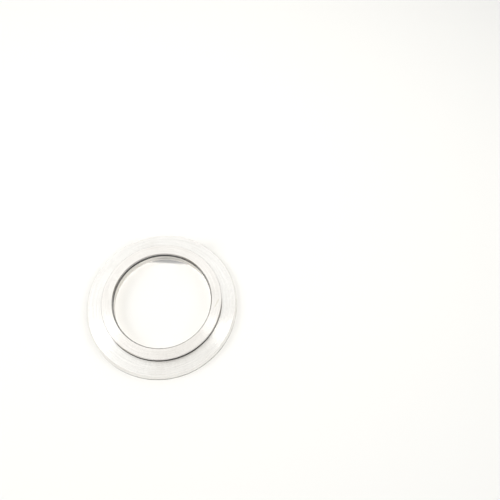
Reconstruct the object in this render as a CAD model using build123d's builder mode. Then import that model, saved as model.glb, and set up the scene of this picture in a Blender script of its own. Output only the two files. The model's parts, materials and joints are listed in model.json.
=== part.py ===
"""Magnetically energised face seal for an 88.9 mm (3.5 in) shaft, in millimetres.

The Z axis is the shaft's axis. The origin is at the centre of the housing ring's back face, and
the rotor is at the top. All parts are shown in their working place, with the carbon ring's nose
running on the seat ring.
"""

from build123d import *
import os

# ---------------------------------------------------------------- driving dimensions

shaft_radius = 44.45
housing_radius = 69.85
housing_height = 9.5
rotor_radius = 54.7
rotor_standing_height = 7.0

shaft_clearance = 0.20
film_gap = 0.02
wall_clearance = 0.10
seal_clearance = 0.05
small_edge_break = 0.2

# housing ring
back_edge_break = 0.4
rim_taper_radial = 2.2
rim_taper_axial = 4.1
passage_radius = 45.4
floor_thickness = 2.2
counterbore_radius = 53.5
counterbore_chamfer = 1.6

# housing O-ring, in the outer wall
housing_seal_section = 2.62
housing_seal_proud = 0.25
housing_seal_height = 3.1
housing_groove_width = 3.6

# magnet unit
carrier_bore_radius = 45.6
carrier_top = 8.0
magnet_count = 24
magnet_radius = 1.6
magnet_circle_radius = 49.2
keeper_thickness = 1.0
keeper_recess = 1.15
keeper_inner_radius = 47.4
keeper_outer_radius = 51.0
magnet_seal_section = 1.78
magnet_seal_height = 5.4
magnet_groove_width = 2.3

# pins between the housing and the magnet carrier
pin_count = 3
pin_radius = 0.75
pin_circle_radius = 52.45
pin_bottom = 1.0
pin_top = 3.7
slot_width = 1.9
slot_top = 4.0

# rotor case
case_top = housing_height + rotor_standing_height
web_thickness = 1.9
outer_chamfer = 0.85
bore_chamfer = 0.75
hub_outer_radius = 49.3
hub_bottom = 10.1

# shaft O-ring, in the case's bore, with a narrow flat where it grips the shaft
shaft_seal_section = 3.53
shaft_seal_squeeze = 0.05
shaft_groove_bottom = 10.9
shaft_groove_top = 15.4

# carbon ring
carbon_outer_radius = 54.5
carbon_body_bottom = 10.4
carbon_edge_break = 0.3
nose_inner_radius = 50.3
nose_outer_radius = 52.7
carbon_seal_section = 1.0
carbon_seal_chamfer = 1.8

# pins between the case and the carbon ring
drive_pin_count = 3
drive_pin_radius = 0.9
drive_pin_circle_radius = 52.2
drive_pin_bottom = 11.9
drive_pin_top = 15.6
drive_hole_clearance = 0.1

# ---------------------------------------------------------------- derived dimensions

face_radius = housing_radius - rim_taper_radial
case_bore_radius = shaft_radius + shaft_clearance
carrier_radius = counterbore_radius - wall_clearance
carbon_inner_radius = hub_outer_radius + wall_clearance
web_bottom = case_top - web_thickness
shaft_seal_outer_radius = shaft_radius - shaft_seal_squeeze + shaft_seal_section
shaft_groove_radius = shaft_seal_outer_radius + wall_clearance


def finish(part, name):
    """Label a finished piece and write it to its own file."""
    part.label = name
    export_step(part, f"parts/{name}.step")


def rods_on_a_circle(name, count, circle_radius, radius, bottom, top, chamfered_ends):
    """Make equal upright rods on a circle round the axis, each as a piece of its own."""
    for number, place in enumerate(PolarLocations(circle_radius, count), start=1):
        with BuildPart() as rod:
            with BuildSketch(Plane.XY.offset(bottom)):
                with Locations(place):
                    Circle(radius)
            extrude(amount=top - bottom)
            ends = rod.edges().filter_by(GeomType.CIRCLE).sort_by(Axis.Z)
            chamfer([ends[end] for end in chamfered_ends], length=small_edge_break)
        finish(rod.part, f"{name}_{number:02d}")


os.makedirs("parts", exist_ok=True)

# ---------------------------------------------------------------- housing ring

housing_groove_bottom = housing_seal_height - housing_groove_width / 2
housing_groove_top = housing_seal_height + housing_groove_width / 2
housing_groove_radius = housing_radius + housing_seal_proud - housing_seal_section - seal_clearance

with BuildPart() as housing_ring:
    with BuildSketch(Plane.XZ):
        with BuildLine():
            Polyline(
                (passage_radius, 0),
                (housing_radius - back_edge_break, 0),
                (housing_radius, back_edge_break),
                (housing_radius, housing_groove_bottom),
                (housing_groove_radius, housing_groove_bottom),
                (housing_groove_radius, housing_groove_top),
                (housing_radius, housing_groove_top),
                (housing_radius, housing_height - rim_taper_axial),
                (face_radius, housing_height),
                (counterbore_radius + counterbore_chamfer, housing_height),
                (counterbore_radius, housing_height - counterbore_chamfer),
                (counterbore_radius, floor_thickness),
                (passage_radius, floor_thickness),
                close=True,
            )
        make_face()
    revolve(axis=Axis.Z)
    with BuildSketch(Plane.XY.offset(floor_thickness)):
        with PolarLocations(pin_circle_radius, pin_count):
            Circle(pin_radius)
    extrude(amount=pin_bottom - floor_thickness, mode=Mode.SUBTRACT)
finish(housing_ring.part, "housing_ring")

housing_seal_circle = housing_radius + housing_seal_proud - housing_seal_section / 2

with BuildPart(Plane.XY.offset(housing_seal_height)) as housing_o_ring:
    Torus(major_radius=housing_seal_circle, minor_radius=housing_seal_section / 2)
finish(housing_o_ring.part, "housing_o_ring")

rods_on_a_circle(
    "anti_rotation_pin", pin_count, pin_circle_radius, pin_radius, pin_bottom, pin_top, [-1]
)

# ---------------------------------------------------------------- magnet unit

magnet_seal_outer = counterbore_radius - seal_clearance
magnet_groove_radius = magnet_seal_outer - magnet_seal_section - seal_clearance
magnet_groove_bottom = magnet_seal_height - magnet_groove_width / 2
magnet_groove_top = magnet_seal_height + magnet_groove_width / 2
keeper_bottom = floor_thickness + keeper_recess - keeper_thickness
magnet_bottom = floor_thickness + keeper_recess

with BuildPart() as magnet_carrier:
    with BuildSketch(Plane.XZ):
        with BuildLine():
            Polyline(
                (carrier_bore_radius, floor_thickness),
                (keeper_inner_radius, floor_thickness),
                (keeper_inner_radius, magnet_bottom),
                (keeper_outer_radius, magnet_bottom),
                (keeper_outer_radius, floor_thickness),
                (carrier_radius, floor_thickness),
                (carrier_radius, magnet_groove_bottom),
                (magnet_groove_radius, magnet_groove_bottom),
                (magnet_groove_radius, magnet_groove_top),
                (carrier_radius, magnet_groove_top),
                (carrier_radius, carrier_top),
                (carrier_bore_radius, carrier_top),
                close=True,
            )
        make_face()
    revolve(axis=Axis.Z)
    with BuildSketch(Plane.XY.offset(carrier_top)):
        with PolarLocations(magnet_circle_radius, magnet_count):
            Circle(magnet_radius)
    extrude(amount=magnet_bottom - carrier_top, mode=Mode.SUBTRACT)
    with BuildSketch(Plane.XY.offset(floor_thickness)):
        with PolarLocations(pin_circle_radius, pin_count):
            SlotOverall(2 * slot_width, slot_width)
    extrude(amount=slot_top - floor_thickness, mode=Mode.SUBTRACT)
finish(magnet_carrier.part, "magnet_carrier")

with BuildPart() as keeper_ring:
    with BuildSketch(Plane.XY.offset(keeper_bottom)):
        Circle(keeper_outer_radius)
        Circle(keeper_inner_radius, mode=Mode.SUBTRACT)
    extrude(amount=keeper_thickness)
finish(keeper_ring.part, "keeper_ring")

rods_on_a_circle(
    "magnet_rod",
    magnet_count,
    magnet_circle_radius,
    magnet_radius,
    magnet_bottom,
    carrier_top,
    [0, -1],
)

with BuildPart() as seat_ring:
    with BuildSketch(Plane.XZ):
        with BuildLine():
            Polyline(
                (carrier_bore_radius, carrier_top),
                (carrier_radius, carrier_top),
                (carrier_radius, housing_height - small_edge_break),
                (carrier_radius - small_edge_break, housing_height),
                (carrier_bore_radius + small_edge_break, housing_height),
                (carrier_bore_radius, housing_height - small_edge_break),
                close=True,
            )
        make_face()
    revolve(axis=Axis.Z)
finish(seat_ring.part, "seat_ring")

with BuildPart(Plane.XY.offset(magnet_seal_height)) as magnet_o_ring:
    Torus(
        major_radius=magnet_seal_outer - magnet_seal_section / 2,
        minor_radius=magnet_seal_section / 2,
    )
finish(magnet_o_ring.part, "magnet_o_ring")

# ---------------------------------------------------------------- shaft O-ring

shaft_seal_height = shaft_groove_top - seal_clearance - shaft_seal_section / 2

with BuildPart() as shaft_o_ring:
    with BuildSketch(Plane.XZ):
        with Locations((shaft_seal_outer_radius - shaft_seal_section / 2, shaft_seal_height)):
            Circle(shaft_seal_section / 2)
        with Locations((shaft_radius, shaft_seal_height)):
            Rectangle(
                shaft_seal_section,
                shaft_seal_section,
                align=(Align.MAX, Align.CENTER),
                mode=Mode.SUBTRACT,
            )
    revolve(axis=Axis.Z)
finish(shaft_o_ring.part, "shaft_o_ring")

# ---------------------------------------------------------------- rotor

with BuildPart() as rotor_case:
    with BuildSketch(Plane.XZ):
        with BuildLine():
            Polyline(
                (case_bore_radius, hub_bottom),
                (hub_outer_radius, hub_bottom),
                (hub_outer_radius, web_bottom),
                (rotor_radius, web_bottom),
                (rotor_radius, case_top - outer_chamfer),
                (rotor_radius - outer_chamfer, case_top),
                (case_bore_radius + bore_chamfer, case_top),
                (case_bore_radius, case_top - bore_chamfer),
                (case_bore_radius, shaft_groove_top),
                (shaft_groove_radius, shaft_groove_top),
                (shaft_groove_radius, shaft_groove_bottom),
                (case_bore_radius, shaft_groove_bottom),
                close=True,
            )
        make_face()
    revolve(axis=Axis.Z)
    with BuildSketch(Plane.XY.offset(web_bottom)):
        with PolarLocations(drive_pin_circle_radius, drive_pin_count):
            Circle(drive_pin_radius)
    extrude(amount=drive_pin_top - web_bottom, mode=Mode.SUBTRACT)
finish(rotor_case.part, "rotor_case")

with BuildPart() as carbon_ring:
    with BuildSketch(Plane.XZ):
        with BuildLine():
            Polyline(
                (carbon_inner_radius, carbon_body_bottom),
                (nose_inner_radius, carbon_body_bottom),
                (nose_inner_radius, housing_height + film_gap),
                (nose_outer_radius, housing_height + film_gap),
                (nose_outer_radius, carbon_body_bottom),
                (carbon_outer_radius - carbon_edge_break, carbon_body_bottom),
                (carbon_outer_radius, carbon_body_bottom + carbon_edge_break),
                (carbon_outer_radius, web_bottom),
                (carbon_inner_radius + carbon_seal_chamfer, web_bottom),
                (carbon_inner_radius, web_bottom - carbon_seal_chamfer),
                close=True,
            )
        make_face()
    revolve(axis=Axis.Z)
    with BuildSketch(Plane.XY.offset(web_bottom)):
        with PolarLocations(drive_pin_circle_radius, drive_pin_count):
            Circle(drive_pin_radius + drive_hole_clearance)
    extrude(amount=drive_pin_bottom - drive_hole_clearance - web_bottom, mode=Mode.SUBTRACT)
finish(carbon_ring.part, "carbon_ring")

rods_on_a_circle(
    "drive_pin",
    drive_pin_count,
    drive_pin_circle_radius,
    drive_pin_radius,
    drive_pin_bottom,
    drive_pin_top,
    [0],
)

carbon_seal_height = web_bottom - seal_clearance - carbon_seal_section / 2

with BuildPart(Plane.XY.offset(carbon_seal_height)) as carbon_o_ring:
    Torus(
        major_radius=hub_outer_radius + seal_clearance + carbon_seal_section / 2,
        minor_radius=carbon_seal_section / 2,
    )
finish(carbon_o_ring.part, "carbon_o_ring")
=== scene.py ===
import json
import math
import random

import bpy
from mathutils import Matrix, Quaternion, Vector


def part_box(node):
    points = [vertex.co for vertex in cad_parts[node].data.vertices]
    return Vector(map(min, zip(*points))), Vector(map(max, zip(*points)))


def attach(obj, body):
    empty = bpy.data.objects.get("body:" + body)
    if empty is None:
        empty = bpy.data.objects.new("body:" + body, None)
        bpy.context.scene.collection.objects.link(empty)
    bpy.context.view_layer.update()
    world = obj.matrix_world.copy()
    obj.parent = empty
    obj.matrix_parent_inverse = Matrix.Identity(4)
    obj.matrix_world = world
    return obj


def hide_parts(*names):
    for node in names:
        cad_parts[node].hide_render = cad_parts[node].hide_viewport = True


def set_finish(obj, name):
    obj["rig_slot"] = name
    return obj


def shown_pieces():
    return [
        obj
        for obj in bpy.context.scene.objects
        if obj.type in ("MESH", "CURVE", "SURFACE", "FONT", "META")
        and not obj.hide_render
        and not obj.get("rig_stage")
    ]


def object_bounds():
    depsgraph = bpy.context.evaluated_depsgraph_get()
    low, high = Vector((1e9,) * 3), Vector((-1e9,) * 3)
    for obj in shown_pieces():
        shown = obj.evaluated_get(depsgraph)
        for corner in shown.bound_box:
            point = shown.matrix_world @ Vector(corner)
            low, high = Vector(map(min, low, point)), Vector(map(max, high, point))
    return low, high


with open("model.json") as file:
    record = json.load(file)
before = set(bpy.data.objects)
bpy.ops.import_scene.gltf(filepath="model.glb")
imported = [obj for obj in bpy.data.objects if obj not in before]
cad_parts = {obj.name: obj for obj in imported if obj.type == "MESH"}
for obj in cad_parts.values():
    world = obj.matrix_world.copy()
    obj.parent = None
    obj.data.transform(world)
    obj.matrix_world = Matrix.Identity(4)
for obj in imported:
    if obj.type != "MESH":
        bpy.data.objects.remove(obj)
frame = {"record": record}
cad_box = [list(corner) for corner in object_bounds()]
MM = 0.001

# ------------------------------------------------------------------ node building blocks
#
# Most blocks add a node to a tree and return its output. A colour is (red, green, blue).


def plug(tree, socket, value):
    """Link a socket to another node's output, or set it to a number or an opaque colour."""
    if isinstance(value, bpy.types.NodeSocket):
        tree.links.new(value, socket)
    elif isinstance(value, tuple):
        socket.default_value = (*value, 1)
    else:
        socket.default_value = value


def calculate(tree, operation, first, second=0.0):
    node = tree.nodes.new("ShaderNodeMath")
    node.operation = operation
    plug(tree, node.inputs[0], first)
    plug(tree, node.inputs[1], second)
    return node.outputs[0]


def split(tree, vector):
    """The three parts of a vector."""
    node = tree.nodes.new("ShaderNodeSeparateXYZ")
    plug(tree, node.inputs["Vector"], vector)
    return node.outputs


def combine(tree, x, y, z):
    node = tree.nodes.new("ShaderNodeCombineXYZ")
    for socket, value in zip(node.inputs, (x, y, z)):
        plug(tree, socket, value)
    return node.outputs[0]


def spread(tree, value, low, high, start=0.3, end=0.7):
    """Map start ... end, which is a noise value's usual range, to low ... high, clamped."""
    node = tree.nodes.new("ShaderNodeMapRange")
    plug(tree, node.inputs["Value"], value)
    plug(tree, node.inputs["From Min"], start)
    plug(tree, node.inputs["From Max"], end)
    plug(tree, node.inputs["To Min"], low)
    plug(tree, node.inputs["To Max"], high)
    return node.outputs["Result"]


def noise(tree, vector, detail, size=1.0):
    """A cloudy value round 0.5, with grains of about that size in the vector's unit."""
    node = tree.nodes.new("ShaderNodeTexNoise")
    plug(tree, node.inputs["Vector"], vector)
    plug(tree, node.inputs["Detail"], detail)
    plug(tree, node.inputs["Scale"], 1 / size)
    return node.outputs["Fac"]


def blend_colors(tree, amount, first, second, mode="MIX"):
    node = tree.nodes.new("ShaderNodeMix")
    node.data_type = "RGBA"
    node.blend_type = mode
    plug(tree, node.inputs["Factor"], amount)
    plug(tree, node.inputs["A"], first)
    plug(tree, node.inputs["B"], second)
    return node.outputs["Result"]


def ramp(tree, value, stops):
    """A colour that follows value through stops of (position, colour)."""
    node = tree.nodes.new("ShaderNodeValToRGB")
    plug(tree, node.inputs["Fac"], value)
    elements = node.color_ramp.elements
    while len(elements) < len(stops):
        elements.new(0.5)
    for element, (position, color) in zip(elements, stops):
        element.position = position
        element.color = (*color, 1)
    return node.outputs["Color"]


def bump(tree, height, distance, under=None):
    """A normal that follows a relief of height times distance, on top of the normal under it."""
    node = tree.nodes.new("ShaderNodeBump")
    plug(tree, node.inputs["Distance"], distance)
    plug(tree, node.inputs["Height"], height)
    if under is not None:
        plug(tree, node.inputs["Normal"], under)
    return node.outputs["Normal"]


def new_material(name):
    material = bpy.data.materials.new(name)
    material.use_nodes = True
    tree = material.node_tree
    return material, tree, tree.nodes["Principled BSDF"]


# ------------------------------------------------------------------ camera and floor

CAMERA_POSITION = Vector((41.7, -96.2, 360.5)) * MM
CAMERA_TARGET = Vector((83.2, 60.3, 0.0)) * MM
CAMERA_ROLL = math.radians(16.2)
CAMERA_NEAREST = 10 * MM
SENSOR_WIDTH = 36.0
LENS = 27.07

FLOOR_SIZE = 4.0
FLOOR_GAP = 0.05 * MM
FLOOR_COLOR = (0.888, 0.881, 0.886)
FLOOR_ROUGHNESS = 0.7


def make_camera():
    data = bpy.data.cameras.new("camera")
    data.sensor_width = SENSOR_WIDTH
    data.lens = LENS
    data.clip_start = CAMERA_NEAREST
    camera = bpy.data.objects.new("camera", data)
    bpy.context.scene.collection.objects.link(camera)
    look = (CAMERA_TARGET - CAMERA_POSITION).to_track_quat("-Z", "Y")
    camera.rotation_mode = "QUATERNION"
    camera.rotation_quaternion = look @ Quaternion((0, 0, 1), CAMERA_ROLL)
    camera.location = CAMERA_POSITION
    bpy.context.scene.camera = camera


def four_cornered(name, corners):
    """A flat object with four corners, in metres."""
    mesh = bpy.data.meshes.new(name)
    mesh.from_pydata(corners, [], [(0, 1, 2, 3)])
    flat = bpy.data.objects.new(name, mesh)
    bpy.context.scene.collection.objects.link(flat)
    return flat


def make_floor():
    half = FLOOR_SIZE / 2
    z = cad_box[0][2] - FLOOR_GAP
    floor = four_cornered("floor", [(-half, -half, z), (half, -half, z), (half, half, z), (-half, half, z)])
    material, tree, shader = new_material("floor")
    plug(tree, shader.inputs["Base Color"], FLOOR_COLOR)
    plug(tree, shader.inputs["Roughness"], FLOOR_ROUGHNESS)
    floor.data.materials.append(material)
    floor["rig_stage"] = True


# ------------------------------------------------------------------ light

LIGHT_DISTANCE = 1.5
DAYLIGHT = (0.98, 0.99, 1.0)

# The card that shades the overhead light, in mm. Its near edge runs a little askew.
CARD_ACROSS = (-30, 30)
CARD_ALONG = (46.3, 66)
CARD_HEIGHT = 26
CARD_SKEW = 0.7

BACKDROP_COLOR = (0.93, 0.93, 0.92)
SKY_COLOR_ON_FLOOR = (0.92, 0.975, 1.0)
SKY_ON_FLOOR = 0.34
SKY_IN_METAL = 1.32

# Metal sees the sky differently in each direction. What counts is how far the direction points to +X,
# up, and to the camera's side: 1 is straight there, 0 across it and -1 straight away.
LEFT_END = -0.45
RIGHT_END = 0.25
LEFT_GAIN = 1.10
RIGHT_GAIN = 0.97
UPWARDS = [
    (0.0, (0.22, 0.22, 0.22)),
    (0.13, (0.48, 0.48, 0.48)),
    (0.32, (0.96, 0.955, 0.945)),
    (0.6, (1.0, 1.0, 0.99)),
]
CAMERA_SIDE = Vector((0.39, -0.92, 0.0))
OPEN = (1.0, 1.0, 1.0)
DARK = (0.40, 0.35, 0.29)
TOWARDS_CAMERA = [(0.02, OPEN), (0.22, DARK), (0.42, DARK), (0.65, OPEN)]


def background(tree, color, strength):
    node = tree.nodes.new("ShaderNodeBackground")
    plug(tree, node.inputs["Color"], color)
    plug(tree, node.inputs["Strength"], strength)
    return node.outputs["Background"]


def either(tree, chooser, otherwise, chosen):
    """One shader where chooser is 1, and the other where it is 0."""
    node = tree.nodes.new("ShaderNodeMixShader")
    for socket, source in zip(node.inputs, (chooser, otherwise, chosen)):
        plug(tree, socket, source)
    return node.outputs["Shader"]


def make_world():
    """A pale room. Metal sees it brighter on the left, and darker low down and in a band at the camera."""
    world = bpy.data.worlds.new("studio")
    bpy.context.scene.world = world
    world.use_nodes = True
    tree = world.node_tree
    tree.nodes.clear()
    way = tree.nodes.new("ShaderNodeTexCoord").outputs["Generated"]
    across, _, height = split(tree, way)
    towards = tree.nodes.new("ShaderNodeVectorMath")
    towards.operation = "DOT_PRODUCT"
    plug(tree, towards.inputs[0], way)
    plug(tree, towards.inputs[1], CAMERA_SIDE)
    band = ramp(tree, towards.outputs["Value"], TOWARDS_CAMERA)
    shade = blend_colors(tree, 1.0, ramp(tree, height, UPWARDS), band, mode="MULTIPLY")
    gain = spread(tree, across, SKY_IN_METAL * LEFT_GAIN, SKY_IN_METAL * RIGHT_GAIN, LEFT_END, RIGHT_END)
    in_metal = background(tree, shade, gain)
    on_floor = background(tree, SKY_COLOR_ON_FLOOR, SKY_ON_FLOOR)
    backdrop = background(tree, BACKDROP_COLOR, 1.0)
    ray = tree.nodes.new("ShaderNodeLightPath").outputs
    room = either(tree, ray["Is Glossy Ray"], on_floor, in_metal)
    output = tree.nodes.new("ShaderNodeOutputWorld")
    plug(tree, output.inputs["Surface"], either(tree, ray["Is Camera Ray"], room, backdrop))


def area_light(name, azimuth, elevation, size, power, color, seen_by_gloss=True):
    """A soft square panel that faces the origin. Angles are in degrees, azimuth from +X towards +Y."""
    data = bpy.data.lights.new(name, "AREA")
    data.shape = "SQUARE"
    data.size = size
    data.energy = power
    data.color = color
    light = bpy.data.objects.new(name, data)
    bpy.context.scene.collection.objects.link(light)
    turn, tilt = math.radians(azimuth), math.radians(elevation)
    away = Vector((math.cos(turn) * math.cos(tilt), math.sin(turn) * math.cos(tilt), math.sin(tilt)))
    light.location = away * LIGHT_DISTANCE
    light.rotation_mode = "QUATERNION"
    light.rotation_quaternion = away.to_track_quat("Z", "Y")
    light.visible_glossy = seen_by_gloss
    return light


def shade_table(light):
    """Shade the light with a small card that nothing else sees: it darkens the table inside the bore."""
    (left, right), (near, far) = CARD_ACROSS, CARD_ALONG
    outline = [(left, near + CARD_SKEW), (right, near - CARD_SKEW), (right, far), (left, far)]
    card = four_cornered("shade_card", [Vector((x, y, CARD_HEIGHT)) * MM for x, y in outline])
    card.visible_camera = False
    card.visible_diffuse = False
    card.visible_glossy = False
    card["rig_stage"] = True
    shading = bpy.data.collections.new("overhead_shading")
    shading.objects.link(card)
    light.light_linking.blocker_collection = shading


make_camera()
make_floor()
make_world()
area_light("right", azimuth=7.5, elevation=69.8, size=0.24, power=0.8, color=(1.0, 0.985, 0.96))
area_light("left", azimuth=180, elevation=58.7, size=0.26, power=0.9, color=(1.0, 0.99, 0.97))
area_light("left_fill", azimuth=185, elevation=50, size=0.6, power=3.4, color=DAYLIGHT, seen_by_gloss=False)
area_light("right_fill", azimuth=0, elevation=50, size=0.6, power=2.4, color=DAYLIGHT, seen_by_gloss=False)
overhead = area_light(
    "overhead",
    azimuth=90,
    elevation=78.5,
    size=0.12,
    power=14.1,
    color=(1.0, 0.965, 0.87),
    seen_by_gloss=False,
)
shade_table(overhead)
bpy.context.scene.view_settings.view_transform = "Standard"

# ------------------------------------------------------------------ turned shapes
#
# An outline is a closed list of points (place, normal, edge), counter-clockwise. Place is (radius, height)
# in mm, normal points outwards or is None, and edge goes up to 1 on rubbed edges and moulding lines.

SEGMENTS = 256
ARC_STEPS = 5
SEAL_STEPS = 40
MOULDING_LINE = 0.03

# How far a tool mark strays, as a share of the pitch, and the shallowest one, as a share of the depth.
MARK_JITTER = 0.3
SHALLOWEST_MARK = 0.2


def corner_arc(before, corner, after, radius):
    """The points of the arc that rounds one corner of an outline. A convex one is a rubbed edge."""
    back = (before - corner).normalized()
    ahead = (after - corner).normalized()
    half = back.angle(ahead) / 2
    centre = corner + (back + ahead).normalized() * (radius / math.sin(half))
    start = corner + back * (radius / math.tan(half)) - centre
    end = corner + ahead * (radius / math.tan(half)) - centre
    convex = (corner - before).cross(after - corner) > 0
    sweep = math.atan2(start.cross(end), start.dot(end))
    points = []
    for step in range(ARC_STEPS + 1):
        turn = sweep * step / ARC_STEPS
        spoke = Vector((
            start.x * math.cos(turn) - start.y * math.sin(turn),
            start.x * math.sin(turn) + start.y * math.cos(turn),
        ))
        normal = spoke.normalized() * (1 if convex else -1)
        points.append((centre + spoke, normal, 1.0 if convex else 0.0))
    return points


def tool_marks(start, end, pitch, depth, chance):
    """Points between start and end that dip a little into the metal, as a turning tool leaves it."""
    along = end - start
    outward = Vector((along.y, -along.x)).normalized()
    count = int(along.length / pitch)
    points = []
    for step in range(1, count):
        share = (step + chance.uniform(-MARK_JITTER, MARK_JITTER)) / count
        dip = depth * chance.uniform(SHALLOWEST_MARK, 1.0) * (step % 2)
        points.append((start + along * share - outward * dip, None, 0.0))
    return points


def rounded_outline(corners, seed=1):
    """An outline from corners of (radius, height, rounding), in mm.

    A fourth value is the (pitch, depth) of the tool marks from that corner to the next.
    """
    chance = random.Random(seed)
    places = [Vector(corner[:2]) for corner in corners]
    count = len(corners)
    arcs = [
        corner_arc(places[i - 1], places[i], places[(i + 1) % count], corners[i][2])
        for i in range(count)
    ]
    points = []
    for i, arc in enumerate(arcs):
        next_arc = arcs[(i + 1) % count]
        points += arc
        for pitch, depth in corners[i][3:]:
            points += tool_marks(arc[-1][0], next_arc[0][0], pitch, depth, chance)
    return points


def seal_outline(outer_radius, height, section, inner_flat=0.0):
    """The round section of an O-ring, with a thin moulding line round its inside and outside.

    height is that of its middle. It is flat at the radius inner_flat, where a shaft presses on it.
    """
    centre_radius = outer_radius - section / 2
    points = []
    for step in range(SEAL_STEPS):
        turn = math.tau * step / SEAL_STEPS
        line = max(0.0, 1 - abs(math.sin(turn)) / math.sin(math.tau / SEAL_STEPS))
        reach = section / 2 - MOULDING_LINE * (1 - line)
        r = max(inner_flat, centre_radius + reach * math.cos(turn))
        points.append((Vector((r, height + reach * math.sin(turn))), None, line))
    return points


def outline_normals(points):
    """Outward normals of an outline. Arc points bring their own, and the rest follow their neighbours."""
    normals = []
    count = len(points)
    for i, (_, normal, _) in enumerate(points):
        if normal is None:
            along = points[(i + 1) % count][0] - points[i - 1][0]
            normal = Vector((along.y, -along.x)).normalized()
        normals.append(normal)
    return normals


def lathe(name, points, node, slot, body):
    """Turn an outline round the axis into one smooth closed ring that stands for a CAD node.

    Its edge mask is the outline's. Its side mask is 1 on outer walls, -1 in bores and 0 on flat faces.
    """
    normals = outline_normals(points)
    count = len(points)
    vertices, vertex_normals, edges, sides = [], [], [], []
    for segment in range(SEGMENTS):
        turn = math.tau * segment / SEGMENTS
        cosine, sine = math.cos(turn), math.sin(turn)
        for (place, _, edge), normal in zip(points, normals):
            vertices.append((place.x * cosine * MM, place.x * sine * MM, place.y * MM))
            vertex_normals.append((normal.x * cosine, normal.x * sine, normal.y))
            edges.append(edge)
            sides.append(normal.x)
    faces = []
    for segment in range(SEGMENTS):
        here, there = segment * count, (segment + 1) % SEGMENTS * count
        for i in range(count):
            j = (i + 1) % count
            faces.append((here + i, there + i, there + j, here + j))
    mesh = bpy.data.meshes.new(name)
    mesh.from_pydata(vertices, [], faces)
    mesh.attributes.new("edge", "FLOAT", "POINT").data.foreach_set("value", edges)
    mesh.attributes.new("side", "FLOAT", "POINT").data.foreach_set("value", sides)
    mesh.shade_smooth()
    mesh.normals_split_custom_set_from_vertices(vertex_normals)
    piece = bpy.data.objects.new(name, mesh)
    bpy.context.scene.collection.objects.link(piece)
    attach(piece, body)
    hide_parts(node)
    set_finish(piece, slot)


# ------------------------------------------------------------------ sizes, in mm
#
# Where a ring ends, outside, below and above, comes from the frame. The rest repeats the CAD's dimensions,
# apart from the roundings and the tool marks, (pitch, depth), which only the turned shapes have.

CORNER = 0.15
FINE_CORNER = 0.06
FACE_MARKS = (0.42, 0.006)
WALL_MARKS = (0.30, 0.004)
FINE_MARKS = (0.30, 0.003)


def ring_size(node):
    """(outer radius, bottom, top) of a round CAD node."""
    low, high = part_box(node)
    return [round(value / MM, 3) for value in (high.x, low.z, high.z)]


housing_radius, housing_bottom, housing_top = ring_size("housing_ring")
case_radius, case_bottom, case_top = ring_size("rotor_case")
carbon_radius, nose_bottom, carbon_top = ring_size("carbon_ring")
seat_radius, seat_bottom, seat_top = ring_size("seat_ring")

shaft_radius = 44.45
shaft_clearance = 0.20
wall_clearance = 0.10
seal_clearance = 0.05
small_edge_break = 0.2

passage_radius = 45.4
back_edge_break = 0.4
rim_taper_radial = 2.2
rim_taper_axial = 4.1
floor_thickness = 2.2
counterbore_radius = 53.5
counterbore_chamfer = 1.6

housing_seal_section = 2.62
housing_seal_proud = 0.25
housing_seal_height = 3.1
housing_seal_radius = housing_radius + housing_seal_proud
housing_groove_width = 3.6
housing_groove_radius = housing_seal_radius - housing_seal_section - seal_clearance

carrier_bore_radius = 45.6
magnet_seal_section = 1.78
magnet_seal_height = 5.4
magnet_seal_radius = counterbore_radius - seal_clearance

case_bore_radius = shaft_radius + shaft_clearance
hub_radius = 49.3
outer_chamfer = 0.85
bore_chamfer = 0.75
shaft_groove_bottom = 10.9
shaft_groove_top = 15.4
shaft_seal_section = 3.53
shaft_seal_squeeze = 0.05
shaft_seal_radius = shaft_radius - shaft_seal_squeeze + shaft_seal_section
shaft_seal_height = shaft_groove_top - seal_clearance - shaft_seal_section / 2
shaft_groove_radius = shaft_seal_radius + wall_clearance

carbon_inner_radius = hub_radius + wall_clearance
carbon_body_bottom = 10.4
carbon_edge_break = 0.3
carbon_seal_chamfer = 1.8
nose_inner_radius = 50.3
nose_outer_radius = 52.7


def housing_outline():
    groove_bottom = housing_seal_height - housing_groove_width / 2
    groove_top = housing_seal_height + housing_groove_width / 2
    floor_top = housing_bottom + floor_thickness
    return rounded_outline([
        (passage_radius, housing_bottom, CORNER, FACE_MARKS),
        (housing_radius - back_edge_break, housing_bottom, CORNER),
        (housing_radius, housing_bottom + back_edge_break, CORNER),
        (housing_radius, groove_bottom, CORNER),
        (housing_groove_radius, groove_bottom, CORNER),
        (housing_groove_radius, groove_top, CORNER),
        (housing_radius, groove_top, CORNER),
        (housing_radius, housing_top - rim_taper_axial, CORNER, WALL_MARKS),
        (housing_radius - rim_taper_radial, housing_top, CORNER, FACE_MARKS),
        (counterbore_radius + counterbore_chamfer, housing_top, CORNER),
        (counterbore_radius, housing_top - counterbore_chamfer, CORNER),
        (counterbore_radius, floor_top, CORNER),
        (passage_radius, floor_top, CORNER, WALL_MARKS),
    ])


def case_outline():
    corners = [
        (case_bore_radius, case_bottom, CORNER),
        (hub_radius, case_bottom, CORNER),
        (hub_radius, carbon_top, CORNER),
        (case_radius, carbon_top, FINE_CORNER),
        (case_radius, case_top - outer_chamfer, FINE_CORNER),
        (case_radius - outer_chamfer, case_top, FINE_CORNER, FINE_MARKS),
        (case_bore_radius + bore_chamfer, case_top, FINE_CORNER),
        (case_bore_radius, case_top - bore_chamfer, FINE_CORNER),
        (case_bore_radius, shaft_groove_top, FINE_CORNER),
        (shaft_groove_radius, shaft_groove_top, CORNER),
        (shaft_groove_radius, shaft_groove_bottom, CORNER),
        (case_bore_radius, shaft_groove_bottom, CORNER),
    ]
    return rounded_outline(corners, seed=2)


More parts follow.
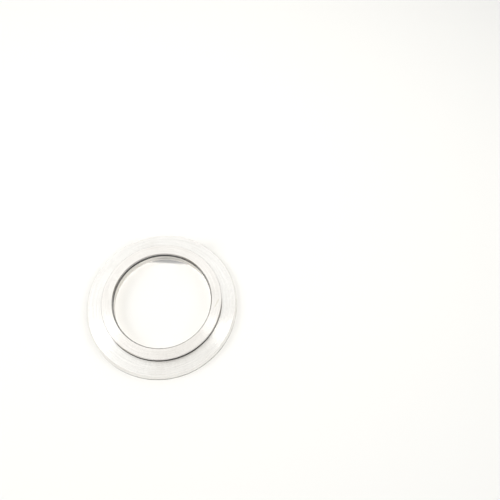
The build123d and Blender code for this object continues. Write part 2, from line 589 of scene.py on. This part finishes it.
def carbon_outline():
    corners = [
        (carbon_inner_radius, carbon_body_bottom, FINE_CORNER),
        (nose_inner_radius, carbon_body_bottom, FINE_CORNER),
        (nose_inner_radius, nose_bottom, FINE_CORNER),
        (nose_outer_radius, nose_bottom, FINE_CORNER),
        (nose_outer_radius, carbon_body_bottom, FINE_CORNER),
        (carbon_radius - carbon_edge_break, carbon_body_bottom, FINE_CORNER),
        (carbon_radius, carbon_body_bottom + carbon_edge_break, FINE_CORNER, WALL_MARKS),
        (carbon_radius, carbon_top, FINE_CORNER),
        (carbon_inner_radius + carbon_seal_chamfer, carbon_top, FINE_CORNER),
        (carbon_inner_radius, carbon_top - carbon_seal_chamfer, FINE_CORNER),
    ]
    return rounded_outline(corners, seed=3)


def seat_outline():
    return rounded_outline([
        (carrier_bore_radius, seat_bottom, FINE_CORNER),
        (seat_radius, seat_bottom, FINE_CORNER),
        (seat_radius, seat_top - small_edge_break, FINE_CORNER),
        (seat_radius - small_edge_break, seat_top, FINE_CORNER),
        (carrier_bore_radius + small_edge_break, seat_top, FINE_CORNER),
        (carrier_bore_radius, seat_top - small_edge_break, FINE_CORNER),
    ])


slots = {row["node"]: row["material_slot"] for row in frame["record"]["subparts"]}
body_of_node = {
    node: body
    for body, members in frame["record"]["behaviour"]["bodies"].items()
    for node in members
}


def turned_piece(node, points):
    lathe(f"{node}_turned", points, node, slots[node], body_of_node[node])


turned_piece("housing_ring", housing_outline())
turned_piece("rotor_case", case_outline())
turned_piece("carbon_ring", carbon_outline())
turned_piece("seat_ring", seat_outline())
turned_piece(
    "housing_o_ring", seal_outline(housing_seal_radius, housing_seal_height, housing_seal_section)
)
turned_piece("magnet_o_ring", seal_outline(magnet_seal_radius, magnet_seal_height, magnet_seal_section))
turned_piece(
    "shaft_o_ring",
    seal_outline(shaft_seal_radius, shaft_seal_height, shaft_seal_section, inner_flat=shaft_radius),
)

# ------------------------------------------------------------------ where a point is on the object


def mesh_mask(tree, name):
    """The edge or side mask that lathe gives a piece. It is 0 on pieces that have none."""
    node = tree.nodes.new("ShaderNodeAttribute")
    node.attribute_name = name
    return node.outputs["Fac"]


class Place:
    """A point in metres, its distance from the axis, and the sine and cosine of its turn round it."""

    def __init__(self, tree):
        self.point = tree.nodes.new("ShaderNodeTexCoord").outputs["Object"]
        self.x, self.y, self.z = split(tree, self.point)
        across = calculate(tree, "MULTIPLY", self.x, self.x)
        along = calculate(tree, "MULTIPLY", self.y, self.y)
        self.radius = calculate(tree, "SQRT", calculate(tree, "ADD", across, along))
        self.sine = calculate(tree, "DIVIDE", self.y, self.radius)
        self.cosine = calculate(tree, "DIVIDE", self.x, self.radius)


def ring_lines(tree, place, pitch, fade):
    """A vector for noise that runs in lines round the axis and changes slowly along them."""
    return combine(
        tree,
        calculate(tree, "MULTIPLY", calculate(tree, "ADD", place.radius, place.z), 1 / pitch),
        calculate(tree, "MULTIPLY", place.sine, fade),
        calculate(tree, "MULTIPLY", place.cosine, fade),
    )


def radial_lines(tree, place, turns, length):
    """A vector for noise that runs in short streaks away from the axis."""
    return combine(
        tree,
        calculate(tree, "MULTIPLY", place.sine, turns),
        calculate(tree, "MULTIPLY", place.cosine, turns),
        calculate(tree, "MULTIPLY", place.radius, 1 / length),
    )


# ------------------------------------------------------------------ materials
#
# A share is how far one colour goes towards another at most. A tint multiplies a colour, part by part.

# Turned steel. Bands are that many times as wide as rings. The highlight's turn is from along the rings.
MARK_DEPTH = 0.0012 * MM
STREAK_DEPTH = 0.5 * MARK_DEPTH
BAND_WIDTH = 6
BAND_SHARE = 0.35
STREAK_SHARE = 0.5
SMUDGE_SHARE = 0.12
SMUDGE_ROUGHNESS = (-0.01, 0.03)
SMUDGE_TINT = (0.96, 0.94, 0.90)
EDGE_TINT = (1.06, 1.06, 1.06)
HIGHLIGHT_TURN = 0.25

# Walls get painted light: their colour turns paler, and bores turn rougher too, as the side mask goes
# through these ranges towards 1 or -1.
PAINTED_LIGHT_RANGE = (0.78, 0.88)
ROUGH_RANGE = (0.93, 0.99)
PAINTED_WALL_LIGHT = (1.18, 1.18, 1.18)
RIM_LIGHT_SHARE = 0.65
BORE_ROUGHNESS = 0.50

# The 45 degree chamfer of a bore gets painted shade: a darker colour stands in for the dark reflection it
# shows. Away from its value of the side mask, the painted shade fades out over this range.
BEVEL_SIDE = 0.707
BEVEL_RANGE = (0.04, 0.12)
PAINTED_BEVEL_SHADE = (0.62, 0.62, 0.62)

# The short mark across the rotor's upper face: its middle, half length, half width and lean, how far and
# over what length it wanders, and the part of its half width and half length that is at full strength.
SCUFF_X = 49.8 * MM
SCUFF_Y = -2.4 * MM
SCUFF_REACH = 4.2 * MM
SCUFF_WIDTH = 0.75 * MM
SCUFF_LEAN = 0.40
SCUFF_WANDER = 0.6 * MM
SCUFF_WANDER_LENGTH = 4 * MM
SCUFF_FULL_ACROSS = 0.4
SCUFF_FULL_ALONG = 0.8
SCUFF_SHARE = 0.55
SCUFF_TINT = (0.93, 0.91, 0.80)

# Plain metal. Patches are that many times as wide as grains.
GRAIN_DEPTH = 0.002 * MM
PATCH_WIDTH = 8
PATCH_SHARE = 0.4

GRAPHITE_IOR = 2.2
GRAPHITE_DARK = (0.030, 0.031, 0.033)
GRAPHITE_LIGHT = (0.055, 0.056, 0.059)
GRAPHITE_SPECK = (0.13, 0.13, 0.135)
GRAPHITE_SPECK_SHARE = 0.6
GRAPHITE_RUBBED = (0.11, 0.11, 0.115)
GRAPHITE_RUBBED_SHARE = 0.6
GRAPHITE_ROUGHNESS = (0.22, 0.36)

RUBBER_DARK = (0.040, 0.042, 0.045)
RUBBER_BLOOM = (0.085, 0.089, 0.093)
RUBBER_LINE = (0.10, 0.10, 0.105)
RUBBER_LINE_SHARE = 0.5
RUBBER_PIT_DEPTH = 0.004 * MM
RUBBER_ROUGHNESS = (0.45, 0.62)


def tinted(color, tint):
    return tuple(min(1.0, part * gain) for part, gain in zip(color, tint))


def scuff(tree, place):
    """How much of the short mark shows: SCUFF_SHARE in its middle and 0 away from it."""
    y = calculate(tree, "SUBTRACT", place.y, SCUFF_Y)
    x = calculate(tree, "SUBTRACT", place.x, SCUFF_X)
    across = calculate(tree, "SUBTRACT", x, calculate(tree, "MULTIPLY", y, SCUFF_LEAN))
    wobble = noise(tree, place.point, detail=2.0, size=SCUFF_WANDER_LENGTH)
    wander = spread(tree, wobble, -SCUFF_WANDER, SCUFF_WANDER)
    across = calculate(tree, "ABSOLUTE", calculate(tree, "ADD", across, wander))
    along = calculate(tree, "ABSOLUTE", y)
    line = spread(tree, across, 1.0, 0.0, SCUFF_FULL_ACROSS * SCUFF_WIDTH, SCUFF_WIDTH)
    reach = spread(tree, along, SCUFF_SHARE, 0.0, SCUFF_FULL_ALONG * SCUFF_REACH, SCUFF_REACH)
    return calculate(tree, "MULTIPLY", line, reach)


def turned_steel(name, dark, light, roughness, anisotropy, pitch=0.5 * MM, scuffed=False):
    """Turned stainless steel: rings left by the tool, faint wiping streaks, smudges and bright edges, with
    painted light on walls and painted shade on bore chamfers.
    """
    material, tree, shader = new_material(name)
    place = Place(tree)
    lines = noise(tree, ring_lines(tree, place, pitch, fade=1.5), detail=3.0)
    bands = noise(tree, ring_lines(tree, place, BAND_WIDTH * pitch, fade=3.0), detail=1.0)
    streaks = noise(tree, radial_lines(tree, place, turns=70.0, length=4 * MM), detail=3.0)
    smudges = noise(tree, place.point, detail=3.0, size=20 * MM)
    rim = mesh_mask(tree, "side")
    bore = calculate(tree, "MULTIPLY", rim, -1.0)

    tone = blend_colors(tree, spread(tree, lines, 0.0, 1.0), dark, light)
    tone = blend_colors(tree, spread(tree, bands, 0.0, BAND_SHARE), tone, dark)
    tone = blend_colors(tree, spread(tree, streaks, 0.0, STREAK_SHARE), tone, light)
    smudged = spread(tree, smudges, 0.0, SMUDGE_SHARE, start=0.5, end=0.75)
    tone = blend_colors(tree, smudged, tone, tinted(dark, SMUDGE_TINT))
    tone = blend_colors(tree, mesh_mask(tree, "edge"), tone, tinted(light, EDGE_TINT))
    if scuffed:
        tone = blend_colors(tree, scuff(tree, place), tone, tinted(dark, SCUFF_TINT))
    # Painted light: bore walls, and outer walls less so, are painted paler than the faces.
    bore_wall_light = spread(tree, bore, 0.0, 1.0, *PAINTED_LIGHT_RANGE)
    rim_wall_light = spread(tree, rim, 0.0, RIM_LIGHT_SHARE, *PAINTED_LIGHT_RANGE)
    tone = blend_colors(tree, calculate(tree, "ADD", bore_wall_light, rim_wall_light), tone, tinted(light, PAINTED_WALL_LIGHT))
    # Painted shade: the bore chamfer is darkened.
    off_bevel = calculate(tree, "ABSOLUTE", calculate(tree, "SUBTRACT", bore, BEVEL_SIDE))
    bevel_shade = spread(tree, off_bevel, 1.0, 0.0, *BEVEL_RANGE)
    tone = blend_colors(tree, bevel_shade, tone, tinted(dark, PAINTED_BEVEL_SHADE))
    plug(tree, shader.inputs["Base Color"], tone)

    smear = spread(tree, smudges, *SMUDGE_ROUGHNESS)
    grain = calculate(tree, "ADD", spread(tree, lines, *roughness), smear)
    rougher = spread(tree, bore, 0.0, BORE_ROUGHNESS, *ROUGH_RANGE)
    plug(tree, shader.inputs["Roughness"], calculate(tree, "ADD", grain, rougher))
    plug(tree, shader.inputs["Metallic"], 1.0)

    around = tree.nodes.new("ShaderNodeTangent")
    around.direction_type = "RADIAL"
    around.axis = "Z"
    plug(tree, shader.inputs["Tangent"], around.outputs["Tangent"])
    plug(tree, shader.inputs["Anisotropic"], anisotropy)
    plug(tree, shader.inputs["Anisotropic Rotation"], HIGHLIGHT_TURN)
    relief = bump(tree, lines, MARK_DEPTH)
    plug(tree, shader.inputs["Normal"], bump(tree, streaks, STREAK_DEPTH, under=relief))
    return material


def plain_metal(name, dark, light, roughness, grain_size):
    """Ground or sintered metal with an even grain."""
    material, tree, shader = new_material(name)
    place = Place(tree)
    grain = noise(tree, place.point, detail=4.0, size=grain_size)
    patches = noise(tree, place.point, detail=2.0, size=PATCH_WIDTH * grain_size)
    tone = blend_colors(tree, spread(tree, grain, 0.0, 1.0), dark, light)
    tone = blend_colors(tree, spread(tree, patches, 0.0, PATCH_SHARE), tone, dark)
    plug(tree, shader.inputs["Base Color"], tone)
    plug(tree, shader.inputs["Roughness"], spread(tree, grain, *roughness))
    plug(tree, shader.inputs["Metallic"], 1.0)
    plug(tree, shader.inputs["Normal"], bump(tree, grain, GRAIN_DEPTH))
    return material


def carbon_graphite(name):
    """Dense satin black, with fine turned lines, paler graphite specks and rubbed edges."""
    material, tree, shader = new_material(name)
    place = Place(tree)
    grain = noise(tree, place.point, detail=4.0, size=0.25 * MM)
    specks = noise(tree, place.point, detail=1.0, size=0.12 * MM)
    lines = noise(tree, ring_lines(tree, place, 0.35 * MM, fade=1.0), detail=2.0)
    tone = blend_colors(tree, spread(tree, grain, 0.0, 1.0), GRAPHITE_DARK, GRAPHITE_LIGHT)
    speckled = spread(tree, specks, 0.0, GRAPHITE_SPECK_SHARE, start=0.66, end=0.74)
    tone = blend_colors(tree, speckled, tone, GRAPHITE_SPECK)
    rubbed = calculate(tree, "MULTIPLY", mesh_mask(tree, "edge"), GRAPHITE_RUBBED_SHARE)
    plug(tree, shader.inputs["Base Color"], blend_colors(tree, rubbed, tone, GRAPHITE_RUBBED))
    plug(tree, shader.inputs["Roughness"], spread(tree, lines, *GRAPHITE_ROUGHNESS))
    plug(tree, shader.inputs["IOR"], GRAPHITE_IOR)
    relief = bump(tree, grain, GRAIN_DEPTH)
    plug(tree, shader.inputs["Normal"], bump(tree, lines, GRAIN_DEPTH, under=relief))
    return material


def seal_rubber(name):
    """Matt black moulded rubber with a faint grey bloom, small pits and a paler moulding line."""
    material, tree, shader = new_material(name)
    place = Place(tree)
    bloom = noise(tree, place.point, detail=4.0, size=6 * MM)
    pits = noise(tree, place.point, detail=3.0, size=0.3 * MM)
    tone = blend_colors(tree, spread(tree, bloom, 0.0, 1.0), RUBBER_DARK, RUBBER_BLOOM)
    line = calculate(tree, "MULTIPLY", mesh_mask(tree, "edge"), RUBBER_LINE_SHARE)
    plug(tree, shader.inputs["Base Color"], blend_colors(tree, line, tone, RUBBER_LINE))
    plug(tree, shader.inputs["Roughness"], spread(tree, bloom, *RUBBER_ROUGHNESS))
    plug(tree, shader.inputs["Normal"], bump(tree, pits, RUBBER_PIT_DEPTH))
    return material


FINISHES = {
    "housing_steel": turned_steel(
        "housing_steel",
        dark=(0.645, 0.635, 0.61),
        light=(0.805, 0.795, 0.775),
        roughness=(0.20, 0.26),
        anisotropy=0.9,
    ),
    "case_steel": turned_steel(
        "case_steel",
        dark=(0.64, 0.62, 0.59),
        light=(0.785, 0.765, 0.74),
        roughness=(0.20, 0.26),
        anisotropy=0.9,
        pitch=0.35 * MM,
        scuffed=True,
    ),
    "carrier_steel": turned_steel(
        "carrier_steel",
        dark=(0.68, 0.67, 0.64),
        light=(0.80, 0.78, 0.76),
        roughness=(0.28, 0.36),
        anisotropy=0.8,
    ),
    "seat_steel": plain_metal(
        "seat_steel",
        dark=(0.72, 0.72, 0.72),
        light=(0.80, 0.80, 0.80),
        roughness=(0.10, 0.16),
        grain_size=0.2 * MM,
    ),
    "pin_steel": plain_metal(
        "pin_steel",
        dark=(0.55, 0.55, 0.55),
        light=(0.68, 0.68, 0.67),
        roughness=(0.25, 0.35),
        grain_size=0.2 * MM,
    ),
    "keeper_iron": plain_metal(
        "keeper_iron",
        dark=(0.24, 0.23, 0.23),
        light=(0.36, 0.35, 0.35),
        roughness=(0.40, 0.55),
        grain_size=0.5 * MM,
    ),
    "magnet_alloy": plain_metal(
        "magnet_alloy",
        dark=(0.38, 0.38, 0.40),
        light=(0.50, 0.50, 0.52),
        roughness=(0.30, 0.42),
        grain_size=0.3 * MM,
    ),
    "carbon": carbon_graphite("carbon"),
    "seal_rubber": seal_rubber("seal_rubber"),
}

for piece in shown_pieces():
    slot = piece.get("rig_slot") or slots[piece.name]
    piece.data.materials.clear()
    piece.data.materials.append(FINISHES[slot])
